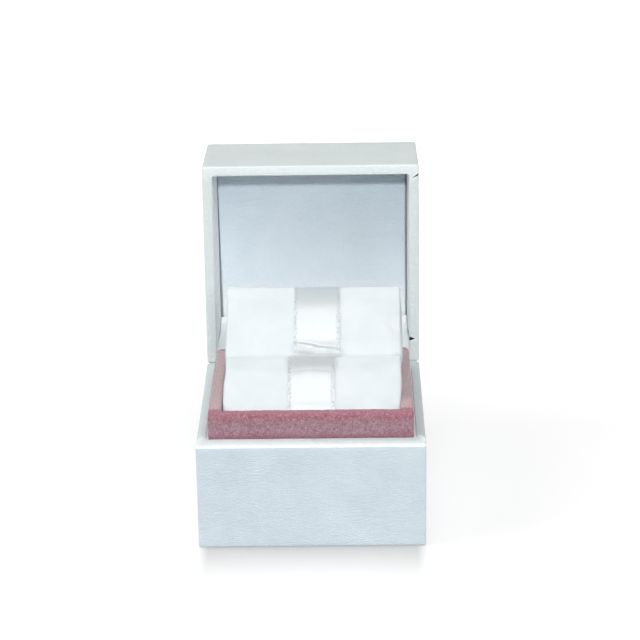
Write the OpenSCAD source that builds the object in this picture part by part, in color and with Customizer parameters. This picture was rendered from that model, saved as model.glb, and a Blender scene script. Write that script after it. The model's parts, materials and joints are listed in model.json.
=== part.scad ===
// Ring display box with a hinged lid.
// X runs across the box, Y runs from the front to the hinge, Z is up.
// The origin is the centre of the underside. The lid is drawn closed and
// then turned about its hinge to the open pose, where it rests on its stay.

/* [Box] */
// Width of the box, over its wrap
box_w = 50; // [44:0.5:70]
// Depth of the box, front to back, over its wrap
box_d = 47.5; // [44:0.5:70]
// Height of the base
base_h = 24.5; // [20:0.5:36]
// Height of the lid
lid_h = 24; // [21:0.5:36]
// Angle between the open lid and the closed one
lid_open = 94; // [90:1:105]

/* [Board and wrap] */
// Thickness of the wall, floor and top boards
board_t = 1.5; // [1:0.1:2]
// Thickness of the wrap paper
wrap_t = 0.2; // [0.1:0.05:0.3]
// Thickness of the corner tapes and of the hinge cloth
tape_t = 0.1; // [0.05:0.05:0.2]
// Length of a corner tape along each wall
tape_leg = 8; // [5:1:12]
// Depth of the wrap that is turned in over a rim
turn_in = 8; // [4:1:12]
// Width of the wrap that is turned under the base
turn_under = 7; // [4:1:12]
// Margin between the bottom sheet and the edge of the base
sheet_margin = 1.2; // [0.6:0.2:4]

/* [Lining] */
// Thickness of the lid's side lining
lining_t = 0.2; // [0.1:0.05:0.3]
// Height of bare wrap between a rim and the edge of its lining
lining_drop = 0.4; // [0.2:0.1:1.5]
// Thickness of the lid's panel card
panel_t = 0.6; // [0.4:0.1:1.2]
// Thickness of the paper that covers the panel card
panel_paper_t = 0.15; // [0.1:0.05:0.25]
// Gap between the panel and the side lining
panel_gap = 0.4; // [0.1:0.1:0.6]

/* [Collar] */
// Height of the collar above the base's rim
collar_rise = 5.5; // [3:0.5:9]
// Thickness of the collar boards
collar_board_t = 1.8; // [1:0.1:2.4]
// Thickness of the velvet
velvet_t = 0.5; // [0.3:0.1:0.8]
// Height of velvet on the collar, inside and outside
velvet_h = 11; // [10:0.5:15]
// Gap between the collar and the sides of the closed lid
collar_clear = 0.35; // [0.3:0.05:0.8]
// Gap between the collar and the lid's front wall as it swings past
swing_clear = 2.1; // [0.4:0.1:3]
// Gap between the collar and the packing card in front of it
collar_front_gap = 0.4; // [0.3:0.1:1]
// Gap behind the collar, where the hinge stay hangs
collar_rear_gap = 1.45; // [1:0.05:3]

/* [Pad] */
// Gap between the pad and the collar at the sides and the back
pad_gap = 0.15; // [0.1:0.05:0.5]
// Gap between the pad and the collar at the front, where the ribbon goes down
pad_front_gap = 0.5; // [0.4:0.05:1]
// Gap between the ribbon on the pad and the closed lid's panel
pad_top_clear = 0.3; // [0.3:0.05:1.5]
// Width of the flat crest along the top of the pad
pad_crest = 1.6; // [1.2:0.1:3]
// Depth of the pad's front edge below the top of the collar
pad_front_drop = 2.5; // [1:0.5:5]
// Angle of the pad's back face from upright, in degrees
pad_lean = 5; // [0:1:6]
// Place of the slit, behind the middle of the box when above zero
slit_y = -0.5; // [-3:0.5:3]
// Width of the slit
slit_gap = 0.9; // [0.8:0.1:1.5]
// Thickness of the velour cover
velour_t = 0.5; // [0.3:0.1:0.8]
// Thickness of the card under the pad
pad_card_t = 1; // [0.6:0.1:1.6]

/* [Ribbon] */
// Width of the satin ribbon
ribbon_w = 11; // [6:0.5:16]
// Thickness of the ribbon
ribbon_t = 0.25; // [0.15:0.05:0.3]
// Gap between the ribbon and the velour
ribbon_clear = 0.05; // [0.03:0.01:0.08]
// Depth that the ribbon is tucked into the slit
ribbon_tuck = 7; // [4:0.5:10]
// Length of ribbon down the pad's back face
ribbon_back = 9; // [4:0.5:10]
// Length of ribbon down the pad's front face
ribbon_front = 6; // [3:0.5:9]
// Sideways shift of the upper stretch of ribbon
ribbon_shift = 1.1; // [-2:0.1:2]

/* [Hinge] */
// Gap between the two rims when the lid is closed
rim_gap = 0.2; // [0.1:0.05:0.4]
// Height of hinge cloth on each side of the hinge line
cloth_h = 12; // [6:1:15]
// Gap between the hinge cloth and the corner tapes
cloth_gap = 1; // [0.5:0.5:4]
// Width of the hinge stay, which stops the lid
stay_w = 38; // [24:1:40]
// Thickness of the hinge stay
stay_t = 0.2; // [0.1:0.05:0.3]
// Length of the hinge stay that lies on the lid's lining
stay_on_lid = 9; // [5:1:14]
// Length of the hinge stay that hangs behind the collar
stay_on_base = 9; // [5:1:14]
// Gap between the hinge stay and the lining it is glued to
stay_clear = 0.05; // [0.03:0.01:0.1]

/* [Hidden] */

// Overshoot of a cutting solid past the face that it cuts
cut = 1;

// Layers of a wall, as distances in from the outside of the box
board_in = wrap_t + tape_t;
edge_w = board_in + board_t + wrap_t;
lid_in = edge_w + lining_t;
liner_t = lining_t + collar_clear;
base_in = edge_w + liner_t;

// Levels of the base. The bottom sheet lies under the wrap's turned edge.
base_z0 = wrap_t;
floor_z0 = base_z0 + wrap_t;
floor_z1 = floor_z0 + board_t;

// Levels of the closed lid
lid_z0 = base_h + rim_gap;
lid_z1 = lid_z0 + lid_h;
top_board_z0 = lid_z1 - wrap_t - board_t;
panel_z0 = top_board_z0 - panel_t - panel_paper_t;

// Hinge line, at the back of the box and midway between the rims
hinge_y = box_d / 2;
hinge_z = base_h + rim_gap / 2;

// Collar. Its front stands back far enough for the lid's front wall to swing past.
collar_t = collar_board_t + 2 * velvet_t;
collar_z1 = base_h + collar_rise;
collar_x = box_w / 2 - lid_in - collar_clear;
collar_reach = sqrt(pow(box_d - lid_in - swing_clear, 2) - pow(collar_z1 - hinge_z, 2));
collar_y0 = hinge_y - collar_reach;
collar_y1 = hinge_y - base_in - collar_rear_gap;
packing_y1 = collar_y0 - collar_front_gap;

// Pad. Its top slopes from the collar's front up to the closed lid's panel.
pad_x = collar_x - collar_t - pad_gap;
pad_y0 = collar_y0 + collar_t + pad_front_gap;
pad_y1 = collar_y1 - collar_t - pad_gap;
pad_z0 = collar_z1 - pad_front_drop;
pad_z1 = panel_z0 - pad_top_clear - ribbon_t - ribbon_clear;
lean_run = tan(pad_lean);
pad_top_y = pad_y1 + (pad_z1 - collar_z1) * lean_run;
pad_rise = (pad_z1 - pad_z0) / (pad_top_y - pad_crest - pad_y0);
pad_angle = atan(pad_rise);

// Height of the pad's slope at y, with its surface moved inwards by inset
function slope_z(y, inset) = pad_z0 + (y - pad_y0) * pad_rise - inset / cos(pad_angle);

// Place of the pad's back face at height z, with its surface moved inwards
function back_y(z, inset) = pad_y1 + (z - collar_z1) * lean_run - inset / cos(pad_lean);

// Corners of the pad's section, each [y, z], with the surface moved inwards
function front_corner(inset) = [pad_y0 + inset, slope_z(pad_y0 + inset, inset)];
function crest_front(inset) =
    let (z = pad_z1 - inset)
    [pad_y0 + (z - pad_z0 + inset / cos(pad_angle)) / pad_rise, z];
function crest_rear(inset) = [back_y(pad_z1 - inset, inset), pad_z1 - inset];
function slit_front_y(inset) = slit_y - slit_gap / 2 - inset;
function slit_rear_y(inset) = slit_y + slit_gap / 2 + inset;
function slit_front(inset) = [slit_front_y(inset), slope_z(slit_front_y(inset), inset)];
function slit_rear(inset) = [slit_rear_y(inset), slope_z(slit_rear_y(inset), inset)];

// Point [y, z] of the closed lid after the lid has been opened
function opened(y, z) = [
    hinge_y + (y - hinge_y) * cos(lid_open) + (z - hinge_z) * sin(lid_open),
    hinge_z - (y - hinge_y) * sin(lid_open) + (z - hinge_z) * cos(lid_open)
];

// Colours
paper_white = [0.87, 0.9, 0.91];
lining_white = [0.84, 0.88, 0.9];
board_grey = [0.6, 0.58, 0.55];
tape_brown = [0.72, 0.66, 0.56];
velvet_pink = [0.65, 0.47, 0.53];
foam_cream = [0.93, 0.92, 0.86];
velour_white = [0.95, 0.96, 0.97];
satin_white = [0.98, 0.98, 0.97];

// Turns what is drawn closed into the open pose
module open_lid() {
    translate([0, hinge_y, hinge_z])
        rotate([-lid_open, 0, 0])
            translate([0, -hinge_y, -hinge_z])
                children();
}

// Solid with the box's outline, moved in from its four sides
module inset_box(inset, z0, z1) {
    translate([inset - box_w / 2, inset - box_d / 2, z0])
        cube([box_w - 2 * inset, box_d - 2 * inset, z1 - z0]);
}

// Ring with the box's outline, of thickness t
module inset_ring(inset, t, z0, z1) {
    difference() {
        inset_box(inset, z0, z1);
        inset_box(inset + t, z0 - cut, z1 + cut);
    }
}

// Front or rear wall board, over the full width of the boards
module cross_board(back, z0, z1) {
    y = back ? box_d / 2 - board_in - board_t : board_in - box_d / 2;
    translate([board_in - box_w / 2, y, z0])
        cube([box_w - 2 * board_in, board_t, z1 - z0]);
}

// Left or right wall board, between the front and rear boards
module side_board(right, z0, z1) {
    x = right ? box_w / 2 - board_in - board_t : board_in - box_w / 2;
    y = board_in + board_t - box_d / 2;
    translate([x, y, z0])
        cube([board_t, -2 * y, z1 - z0]);
}

// Paper tape round each of the four board corners
module corner_tapes(z0, z1) {
    leg = wrap_t + tape_leg;
    intersection() {
        inset_ring(wrap_t, tape_t, z0, z1);
        for (x = [-box_w / 2, box_w / 2 - leg], y = [-box_d / 2, box_d / 2 - leg])
            translate([x, y, z0])
                cube([leg, leg, z1 - z0]);
    }
}

// Wrap over one rim: outer skin, rim and the edge turned in, from z0 to z1
module rim_wrap(z0, z1, rim_z, inner_z0) {
    inset_ring(0, wrap_t, z0, z1);
    inset_ring(0, edge_w, rim_z, rim_z + wrap_t);
    inset_ring(edge_w - wrap_t, wrap_t, inner_z0, inner_z0 + turn_in);
}

// Strip of hinge cloth on the rear boards, between the corner tapes
module hinge_cloth(z0) {
    w = box_w - 2 * (wrap_t + tape_leg + cloth_gap);
    translate([-w / 2, box_d / 2 - board_in, z0])
        cube([w, tape_t, cloth_h]);
}

// Space between the front of the base, moved in by inset, and the collar
module front_packing(inset, z0, z1) {
    y0 = inset - box_d / 2;
    translate([inset - box_w / 2, y0, z0])
        cube([box_w - 2 * inset, packing_y1 - y0, z1 - z0]);
}

// Box outline of the collar, moved in from its outside
module collar_box(inset, z0, z1) {
    translate([inset - collar_x, collar_y0 + inset, z0])
        cube([2 * (collar_x - inset), collar_y1 - collar_y0 - 2 * inset, z1 - z0]);
}

module collar_ring(inset, t, z0, z1) {
    difference() {
        collar_box(inset, z0, z1);
        collar_box(inset + t, z0 - cut, z1 + cut);
    }
}

module collar_cross_board(back) {
    y = back ? collar_y1 - velvet_t - collar_board_t : collar_y0 + velvet_t;
    translate([velvet_t - collar_x, y, floor_z1])
        cube([2 * (collar_x - velvet_t), collar_board_t, collar_z1 - velvet_t - floor_z1]);
}

module collar_side_board(right) {
    x = right ? collar_x - velvet_t - collar_board_t : velvet_t - collar_x;
    y0 = collar_y0 + velvet_t + collar_board_t;
    y1 = collar_y1 - velvet_t - collar_board_t;
    translate([x, y0, floor_z1])
        cube([collar_board_t, y1 - y0, collar_z1 - velvet_t - floor_z1]);
}

// Extrudes a section drawn in [y, z] along X, from x0 over a width w
module along_x(x0, w, points) {
    translate([x0, 0, 0])
        rotate([90, 0, 90])
            linear_extrude(height = w)
                polygon(points);
}

// Front half of the pad, with its surface moved inwards by inset
module pad_front(inset, z0) {
    along_x(inset - pad_x, 2 * (pad_x - inset), [
        [pad_y0 + inset, z0],
        [slit_front_y(inset), z0],
        slit_front(inset),
        front_corner(inset)
    ]);
}

// Rear half of the pad, with its surface moved inwards by inset
module pad_rear(inset, z0) {
    along_x(inset - pad_x, 2 * (pad_x - inset), [
        [slit_rear_y(inset), z0],
        [back_y(z0, inset), z0],
        crest_rear(inset),
        crest_front(inset),
        slit_rear(inset)
    ]);
}

// Base

module base_bottom_sheet() {
    color(paper_white) inset_box(sheet_margin, 0, wrap_t);
}

module base_floor_board() {
    color(board_grey) inset_box(board_in, floor_z0, floor_z1);
}

module base_front_board() {
    color(board_grey) cross_board(false, floor_z1, base_h - wrap_t);
}

module base_rear_board() {
    color(board_grey) cross_board(true, floor_z1, base_h - wrap_t);
}

module base_left_board() {
    color(board_grey) side_board(false, floor_z1, base_h - wrap_t);
}

module base_right_board() {
    color(board_grey) side_board(true, floor_z1, base_h - wrap_t);
}

module base_corner_tapes() {
    color(tape_brown) corner_tapes(floor_z0, base_h - wrap_t);
}

module base_wrap() {
    color(paper_white) {
        rim_wrap(base_z0, base_h, base_h - wrap_t, base_h - turn_in);
        front_packing(wrap_t, base_h - wrap_t, base_h);
        inset_ring(0, turn_under, base_z0, floor_z0);
    }
}

module base_liner() {
    color(lining_white) {
        inset_ring(edge_w, liner_t, floor_z1, base_h - lining_drop);
        front_packing(edge_w, floor_z1, base_h - wrap_t);
    }
}

// Collar

module collar_front_board() {
    color(board_grey) collar_cross_board(false);
}

module collar_rear_board() {
    color(board_grey) collar_cross_board(true);
}

module collar_left_board() {
    color(board_grey) collar_side_board(false);
}

module collar_right_board() {
    color(board_grey) collar_side_board(true);
}

module collar_velvet() {
    z0 = collar_z1 - velvet_h;
    color(velvet_pink) {
        collar_ring(0, velvet_t, z0, collar_z1);
        collar_ring(0, collar_t, collar_z1 - velvet_t, collar_z1);
        collar_ring(collar_t - velvet_t, velvet_t, z0, collar_z1);
    }
}

// Pad

module pad_card() {
    z1 = floor_z1 + pad_card_t;
    y0 = pad_y0 + velour_t;
    y1 = back_y(floor_z1, velour_t);
    color(board_grey)
        translate([velour_t - pad_x, y0, floor_z1])
            cube([2 * (pad_x - velour_t), y1 - y0, pad_card_t]);
}

module pad_front_foam() {
    color(foam_cream) pad_front(velour_t, floor_z1 + pad_card_t);
}

module pad_rear_foam() {
    color(foam_cream) pad_rear(velour_t, floor_z1 + pad_card_t);
}

module pad_front_cover() {
    color(velour_white) difference() {
        pad_front(0, floor_z1);
        pad_front(velour_t, floor_z1 - cut);
        pad_card();
    }
}

module pad_rear_cover() {
    color(velour_white) difference() {
        pad_rear(0, floor_z1);
        pad_rear(velour_t, floor_z1 - cut);
        pad_card();
    }
}

// Ribbon: one length, over the back edge, into the slit, out and over the front
module ribbon() {
    near = -ribbon_clear;
    far = near - ribbon_t;
    back_z = pad_z1 - ribbon_back;
    front_z = pad_z0 - ribbon_front;
    tuck_z = slit_front(0)[1] - ribbon_tuck;
    color(satin_white) {
        along_x(ribbon_shift - ribbon_w / 2, ribbon_w, [
            [back_y(back_z, far), back_z],
            crest_rear(far),
            crest_front(far),
            slit_rear(far),
            [slit_rear_y(far), tuck_z],
            [slit_rear_y(near), tuck_z],
            slit_rear(near),
            crest_front(near),
            crest_rear(near),
            [back_y(back_z, near), back_z]
        ]);
        along_x(-ribbon_w / 2, ribbon_w, [
            [pad_y0 + far, front_z],
            front_corner(far),
            slit_front(far),
            [slit_front_y(far), tuck_z],
            [slit_front_y(near), tuck_z],
            slit_front(near),
            front_corner(near),
            [pad_y0 + near, front_z]
        ]);
        along_x(-ribbon_w / 2, ribbon_w, [
            [slit_front_y(near), tuck_z - ribbon_t],
            [slit_rear_y(near), tuck_z - ribbon_t],
            [slit_rear_y(near), tuck_z + ribbon_t],
            [slit_front_y(near), tuck_z + ribbon_t]
        ]);
    }
}

// Hinge

module hinge_cloth_lower() {
    color(tape_brown) hinge_cloth(base_h - wrap_t - cloth_h);
}

module hinge_cloth_upper() {
    color(tape_brown) open_lid() hinge_cloth(lid_z0 + wrap_t);
}

// Strip that joins the two linings and draws taut when the lid is open
module hinge_stay() {
    lid_y = hinge_y - lid_in - stay_clear;
    base_y = hinge_y - base_in - stay_clear;
    color(lining_white)
        along_x(-stay_w / 2, stay_w, [
            opened(lid_y, lid_z0 + stay_on_lid),
            opened(lid_y, lid_z0),
            [base_y, base_h],
            [base_y, base_h - stay_on_base],
            [base_y - stay_t, base_h - stay_on_base],
            [base_y - stay_t, base_h],
            opened(lid_y - stay_t, lid_z0),
            opened(lid_y - stay_t, lid_z0 + stay_on_lid)
        ]);
}

// Lid

module lid_top_board() {
    color(board_grey) open_lid() inset_box(board_in, top_board_z0, lid_z1 - wrap_t);
}

module lid_front_board() {
    color(board_grey) open_lid() cross_board(false, lid_z0 + wrap_t, top_board_z0);
}

module lid_rear_board() {
    color(board_grey) open_lid() cross_board(true, lid_z0 + wrap_t, top_board_z0);
}

module lid_left_board() {
    color(board_grey) open_lid() side_board(false, lid_z0 + wrap_t, top_board_z0);
}

module lid_right_board() {
    color(board_grey) open_lid() side_board(true, lid_z0 + wrap_t, top_board_z0);
}

module lid_corner_tapes() {
    color(tape_brown) open_lid() corner_tapes(lid_z0 + wrap_t, lid_z1 - wrap_t);
}

module lid_wrap() {
    color(paper_white) open_lid() {
        rim_wrap(lid_z0, lid_z1, lid_z0, lid_z0);
        inset_box(0, lid_z1 - wrap_t, lid_z1);
    }
}

module lid_side_lining() {
    color(lining_white) open_lid() inset_ring(edge_w, lining_t, lid_z0 + lining_drop, top_board_z0);
}

module lid_panel_card() {
    color(board_grey) open_lid()
        inset_box(lid_in + panel_gap + panel_paper_t, top_board_z0 - panel_t, top_board_z0);
}

module lid_panel_paper() {
    color(lining_white) open_lid() difference() {
        inset_box(lid_in + panel_gap, panel_z0, top_board_z0);
        inset_box(lid_in + panel_gap + panel_paper_t, top_board_z0 - panel_t, top_board_z0 + cut);
    }
}

base_bottom_sheet();
base_floor_board();
base_front_board();
base_rear_board();
base_left_board();
base_right_board();
base_corner_tapes();
base_wrap();
base_liner();
collar_front_board();
collar_rear_board();
collar_left_board();
collar_right_board();
collar_velvet();
pad_card();
pad_front_foam();
pad_rear_foam();
pad_front_cover();
pad_rear_cover();
ribbon();
hinge_cloth_lower();
hinge_stay();
lid_top_board();
lid_front_board();
lid_rear_board();
lid_left_board();
lid_right_board();
lid_corner_tapes();
lid_wrap();
lid_side_lining();
lid_panel_card();
lid_panel_paper();
hinge_cloth_upper();
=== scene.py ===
# %% [markdown]
# # A ring display box, standing open
# The box is a small rigid box of grey board, covered in white grained paper. A pink velvet
# collar stands in the base, a sloping white pad holds the ring in its slit, and a satin ribbon
# runs over the pad. The lid swings on a paper hinge at the back.
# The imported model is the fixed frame. Everything made below sits where that frame says.

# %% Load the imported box
import json
import math

import bmesh
import bpy
import numpy as np
from mathutils import Matrix, Vector
from mathutils.bvhtree import BVHTree


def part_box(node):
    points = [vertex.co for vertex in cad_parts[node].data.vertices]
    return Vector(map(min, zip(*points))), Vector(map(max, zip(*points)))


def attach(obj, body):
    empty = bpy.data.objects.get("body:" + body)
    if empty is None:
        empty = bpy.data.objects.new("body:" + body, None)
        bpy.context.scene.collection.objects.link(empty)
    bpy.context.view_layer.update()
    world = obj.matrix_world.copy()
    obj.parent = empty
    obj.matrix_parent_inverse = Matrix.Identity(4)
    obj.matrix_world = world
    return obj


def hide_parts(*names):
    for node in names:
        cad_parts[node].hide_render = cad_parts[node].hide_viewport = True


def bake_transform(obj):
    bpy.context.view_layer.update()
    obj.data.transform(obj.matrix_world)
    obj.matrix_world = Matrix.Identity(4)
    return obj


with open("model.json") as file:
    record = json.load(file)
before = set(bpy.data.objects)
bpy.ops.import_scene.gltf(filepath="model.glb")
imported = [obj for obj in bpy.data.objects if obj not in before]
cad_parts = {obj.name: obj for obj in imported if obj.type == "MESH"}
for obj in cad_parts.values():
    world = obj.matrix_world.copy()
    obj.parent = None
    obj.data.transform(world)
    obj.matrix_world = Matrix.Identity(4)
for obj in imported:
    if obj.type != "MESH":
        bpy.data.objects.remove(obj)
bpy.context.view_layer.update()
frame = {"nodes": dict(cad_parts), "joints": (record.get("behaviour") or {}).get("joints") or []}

scene = bpy.context.scene

# %% [markdown]
# ## Sizes
# The frame is in metres, and a box maker thinks in millimetres, so one factor turns one into
# the other. All sizes could be typed in, but the looks would then stay behind when the frame
# changes. So the main ones are read off the frame's own pieces, and only the lid's angle, the
# paper and the rims are written here.

# %% Sizes of the box
MM = 0.001
PAPER = 0.18           # thickness of the covering papers
LID_ANGLE = 94         # the lid stands open by this many degrees


def corners(node):
    """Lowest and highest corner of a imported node, in millimetres."""
    low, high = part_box(node)
    return Vector(low) / MM, Vector(high) / MM


base_low, base_high = corners("base_wrap")
collar_low, collar_high = corners("collar_velvet")
front_low, front_high = corners("pad_front_cover")
rear_low = corners("pad_rear_cover")[0]
HINGE = Vector(v / MM for v in frame["joints"][0]["pos_m"])
BASE_RIM, LID_RIM = 2.0, 2.3    # widths of the two rims
COLLAR_GAP = 0.4       # between the collar and the paper in front of it
LEDGE = collar_low.y - COLLAR_GAP - base_low.y - BASE_RIM    # extra width of the front rim
HAIR = 0.01            # places that differ by less than this are the same place
print("base:", [round(v, 2) for v in base_high - base_low], "hinge:", [round(v, 2) for v in HINGE])

# %% [markdown]
# ## Hands
# These helpers are the hands of the work. One puts down a block between two corners. One picks
# faces or edges by their place and direction, which a modeller does with the mouse. One applies
# a modifier at once, so that each piece ends as a plain mesh with its origin at zero.

# %% Helpers for picking and shaping


def let_go():
    """Leaves edit mode and deselects everything."""
    if bpy.context.object and bpy.context.object.mode != "OBJECT":
        bpy.ops.object.mode_set(mode="OBJECT")
    bpy.ops.object.select_all(action="DESELECT")


def hold(piece, mode="OBJECT"):
    """Makes piece the only selected and the active one, in the given mode."""
    let_go()
    piece.select_set(True)
    bpy.context.view_layer.objects.active = piece
    bpy.ops.object.mode_set(mode=mode)


def block(name, low, high):
    """A cube stretched between two corners in millimetres, with its origin at zero."""
    let_go()
    low, high = Vector(low), Vector(high)
    bpy.ops.mesh.primitive_cube_add(size=1, location=(low + high) / 2 * MM)
    piece = bpy.context.object
    piece.name = piece.data.name = name
    bpy.ops.transform.resize(value=(high - low) * MM)
    bpy.ops.object.transform_apply(location=True, rotation=True, scale=True)
    return piece


def pick(piece, kind, wanted):
    """In edit mode, selects the verts, edges or faces that wanted(item) accepts."""
    bpy.ops.mesh.select_mode(type=kind)
    bpy.ops.mesh.select_all(action="DESELECT")
    shape = bmesh.from_edit_mesh(piece.data)
    items = {"VERT": shape.verts, "EDGE": shape.edges, "FACE": shape.faces}[kind]
    for item in items:
        if wanted(item):
            item.select_set(True)
    shape.select_flush_mode()
    bmesh.update_edit_mesh(piece.data)


def middle(item):
    """Middle of an edge or face, in millimetres."""
    points = [v.co for v in item.verts]
    return sum(points, Vector()) / len(points) / MM


def runs_along(edge, axis, shortest=0.0):
    """Whether an edge runs along an axis and is at least so many millimetres long."""
    step = edge.verts[1].co - edge.verts[0].co
    return step.length >= max(shortest * MM, 1e-6) and abs(step[axis]) > 0.999 * step.length


def round_off(radius, steps):
    """Rounds the selected edges."""
    bpy.ops.mesh.bevel(offset=radius * MM, segments=steps, affect="EDGES")


def modify(piece, kind, **settings):
    """Adds a modifier, sets it and applies it."""
    hold(piece)
    modifier = piece.modifiers.new(kind.lower(), kind)
    for key, value in settings.items():
        setattr(modifier, key, value)
    bpy.ops.object.modifier_apply(modifier=modifier.name)


def points_of(piece):
    """The places of a piece's points, in metres."""
    return np.array([v.co for v in piece.data.vertices])


def put_points(piece, co):
    """Moves a piece's points to the given places, in metres."""
    piece.data.vertices.foreach_set("co", co.astype(np.float32).ravel())
    piece.data.update()


def tell(piece):
    """Prints how many faces a piece has and its size in millimetres."""
    co = points_of(piece) / MM
    size = [round(float(v), 2) for v in co.max(0) - co.min(0)]
    print(piece.name, "faces:", len(piece.data.polygons), "size in mm:", size)


# %% [markdown]
# Paper on board is never dead flat. A wall is first cut into a fine grid, and a cloud pattern
# then lifts it by a few hundredths of a millimetre. The grid comes from subdividing only the
# long edges along each axis in turn, which leaves the small rounded edges alone.

# %% Grid and unevenness


def lay_grid(piece, step, shortest):
    """Cuts the long edges along X, Y and Z, so that the big faces become a grid."""
    hold(piece, "EDIT")
    for axis in range(3):
        while True:
            edges = bmesh.from_edit_mesh(piece.data).edges
            lengths = [e.calc_length() / MM for e in edges if runs_along(e, axis, shortest)]
            if not lengths:
                break
            longest = max(lengths)
            pick(piece, "EDGE", lambda e: runs_along(e, axis, max(shortest, 0.7 * longest)))
            bpy.ops.mesh.subdivide(number_cuts=max(1, round(longest / step) - 1))
    let_go()


def make_uneven(piece, height, size):
    """Lifts the surface by up to half of height, in soft clouds of the given size."""
    clouds = bpy.data.textures.new(piece.name + "_clouds", "CLOUDS")
    clouds.noise_scale, clouds.noise_depth = size * MM, 1
    modify(piece, "DISPLACE", texture=clouds, texture_coords="LOCAL", strength=height * MM,
           mid_level=0.5)
    bpy.data.textures.remove(clouds)


def smooth(piece, angle=40):
    """Smooth shading, with creases kept above the angle."""
    hold(piece)
    bpy.ops.object.shade_smooth_by_angle(angle=math.radians(angle))
    let_go()


# %% [markdown]
# ## The wrap as a tray
# The covering of the base and that of the lid are the same thing: a paper tray that goes up the
# outside, over the rim and down the inside. It could be four strips, but one shell has the same
# soft rounded edges all round, as paper pulled tight over board has. The lid's tray is made rim
# up like the base's and turned over later.

# %% Helper for a paper tray
TURNED_IN = 8          # how far the paper goes down the inside
ROUNDING = 0.42        # radius of the outer edges
RIM_ROUNDING = 0.25    # radius of the rim's inner edge
INSIDE = 1.9           # how far in the turned-in walls start


def paper_tray(name, low, high, rim, ledge=0):
    """An open paper tray with its rim on top, as one sheet without thickness yet."""
    tray = block(name, low, high)
    hold(tray, "EDIT")
    pick(tray, "FACE", lambda f: f.normal.z > 0.9)
    bpy.ops.mesh.inset(thickness=rim * MM)
    if ledge:
        pick(tray, "VERT", lambda v: abs(v.co.y / MM - low[1] - rim) < HAIR)
        bpy.ops.transform.translate(value=(0, ledge * MM, 0))
        pick(tray, "FACE", lambda f: f.normal.z > 0.9 and abs(middle(f).x) < 0.1
             and low[1] + rim + ledge < middle(f).y < high[1] - rim)
    bpy.ops.mesh.extrude_region_move(TRANSFORM_OT_translate={"value": (0, 0, -TURNED_IN * MM)})
    bpy.ops.mesh.delete(type="FACE")
    inner = min(high[0] - rim, high[1] - rim) + 0.1

    def outer(edge):
        at = middle(edge)
        upright = runs_along(edge, 2) and abs(at.x) > inner
        level = abs(at.z - high[2]) < HAIR or abs(at.z - low[2]) < HAIR
        flat = (runs_along(edge, 0) or runs_along(edge, 1)) and level
        return upright or flat and (abs(at.x) > high[0] - 0.1 or abs(at.y) > high[1] - 0.1)

    pick(tray, "EDGE", outer)
    round_off(ROUNDING, 4)

    def inner_rim(edge):
        at = middle(edge)
        level = (runs_along(edge, 0) or runs_along(edge, 1)) and abs(at.z - high[2]) < HAIR
        inside = abs(at.x) < high[0] - rim + 0.1 and abs(at.y) < high[1] - rim + 0.1
        return level and inside and len(edge.link_faces) == 2 and edge.calc_face_angle(0) > 1

    pick(tray, "EDGE", inner_rim)
    round_off(RIM_ROUNDING, 3)
    bpy.ops.mesh.select_all(action="SELECT")
    bpy.ops.mesh.remove_doubles(threshold=1e-6)
    let_go()
    return tray


print("paper turned in:", TURNED_IN, "mm, edges rounded:", ROUNDING, "mm")

# %% [markdown]
# Paper is painted paler along the rim, as painted light, and some rims are painted darker, as
# painted shade. The turned-in walls inside are painted light as well. The rim could be a piece of
# its own, but a seam would show. So the tray's points carry three marks that the finish reads: on
# the rim, how much painted shade it gets there, and inside.

# %% Marks for painted light and shade
RIM_DEPTH = 0.36       # how far below its top the rim still counts as rim


def paint_rim_light_and_shade(tray, height, rim_shade):
    """Writes where the rim and the turned-in walls are, which get painted light, and how much
    painted shade the rim gets.
    """
    points = [v.co / MM for v in tray.data.vertices]
    painted_light_marks = {"rim": [float(p.z > height - RIM_DEPTH) for p in points],
             "painted_rim_shade": [rim_shade(p.x, p.y) for p in points],
             "inside": [float(abs(p.x) < base_high.x - INSIDE and abs(p.y) < base_high.y - INSIDE
                              and height - TURNED_IN - 1 < p.z < height - 0.2) for p in points]}
    for name, values in painted_light_marks.items():
        tray.data.attributes.new(name, "FLOAT", "POINT").data.foreach_set("value", values)
    print(tray.name, "points on the rim:", int(sum(painted_light_marks["rim"])))


# %% [markdown]
# ## The base's wrap
# The base's paper also turns under the floor for a few millimetres, so the bottom face of the
# tray keeps only a border. Solidify then gives the paper its thickness, inwards, so that the
# outside stays on the frame's own size. Its front rim gets no painted shade, and its right rim the
# most.

# %% Wrap of the base
UNDER_FLOOR = 6.5      # how far the paper turns under the floor
GRID = (1.0, 5)        # step of the grid, and the shortest edge that is cut
CLOUDS = (0.07, 3.5)   # height and size of the paper's unevenness
base_paper = paper_tray("base_wrap_paper", base_low, base_high, BASE_RIM, LEDGE)
hold(base_paper, "EDIT")
pick(base_paper, "FACE", lambda f: f.normal.z < -0.999 and f.calc_area() > 1000 * MM * MM)
bpy.ops.mesh.inset(thickness=UNDER_FLOOR * MM)
bpy.ops.mesh.delete(type="FACE")
lay_grid(base_paper, *GRID)
modify(base_paper, "SOLIDIFY", thickness=PAPER * MM, offset=-1, use_even_offset=True)
make_uneven(base_paper, *CLOUDS)
# Painted shade on the base's rim: none at the front, some on the left, most on the right.
paint_rim_light_and_shade(base_paper, base_high.z, lambda x, y: 0.0 if y < -20 else 0.69 if x < 0 else 1.0)
smooth(base_paper)
tell(base_paper)

# %% [markdown]
# ## The lid's wrap
# The lid's tray is made with its rim up at the height of the base's rim, turned over about X,
# and then swung open about the hinge. Without a window the rotate operator needs its centre
# given, and it turns the other way, so the helper asks for the opposite angle.

# %% Wrap of the lid, turned over


def turn(piece, degrees, centre):
    """Turns the mesh about X through a point in millimetres, right-handed."""
    hold(piece, "EDIT")
    bpy.ops.mesh.select_all(action="SELECT")
    bpy.ops.transform.rotate(value=-math.radians(degrees), orient_axis="X", orient_type="GLOBAL",
                             center_override=Vector(centre) * MM)
    let_go()


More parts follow.
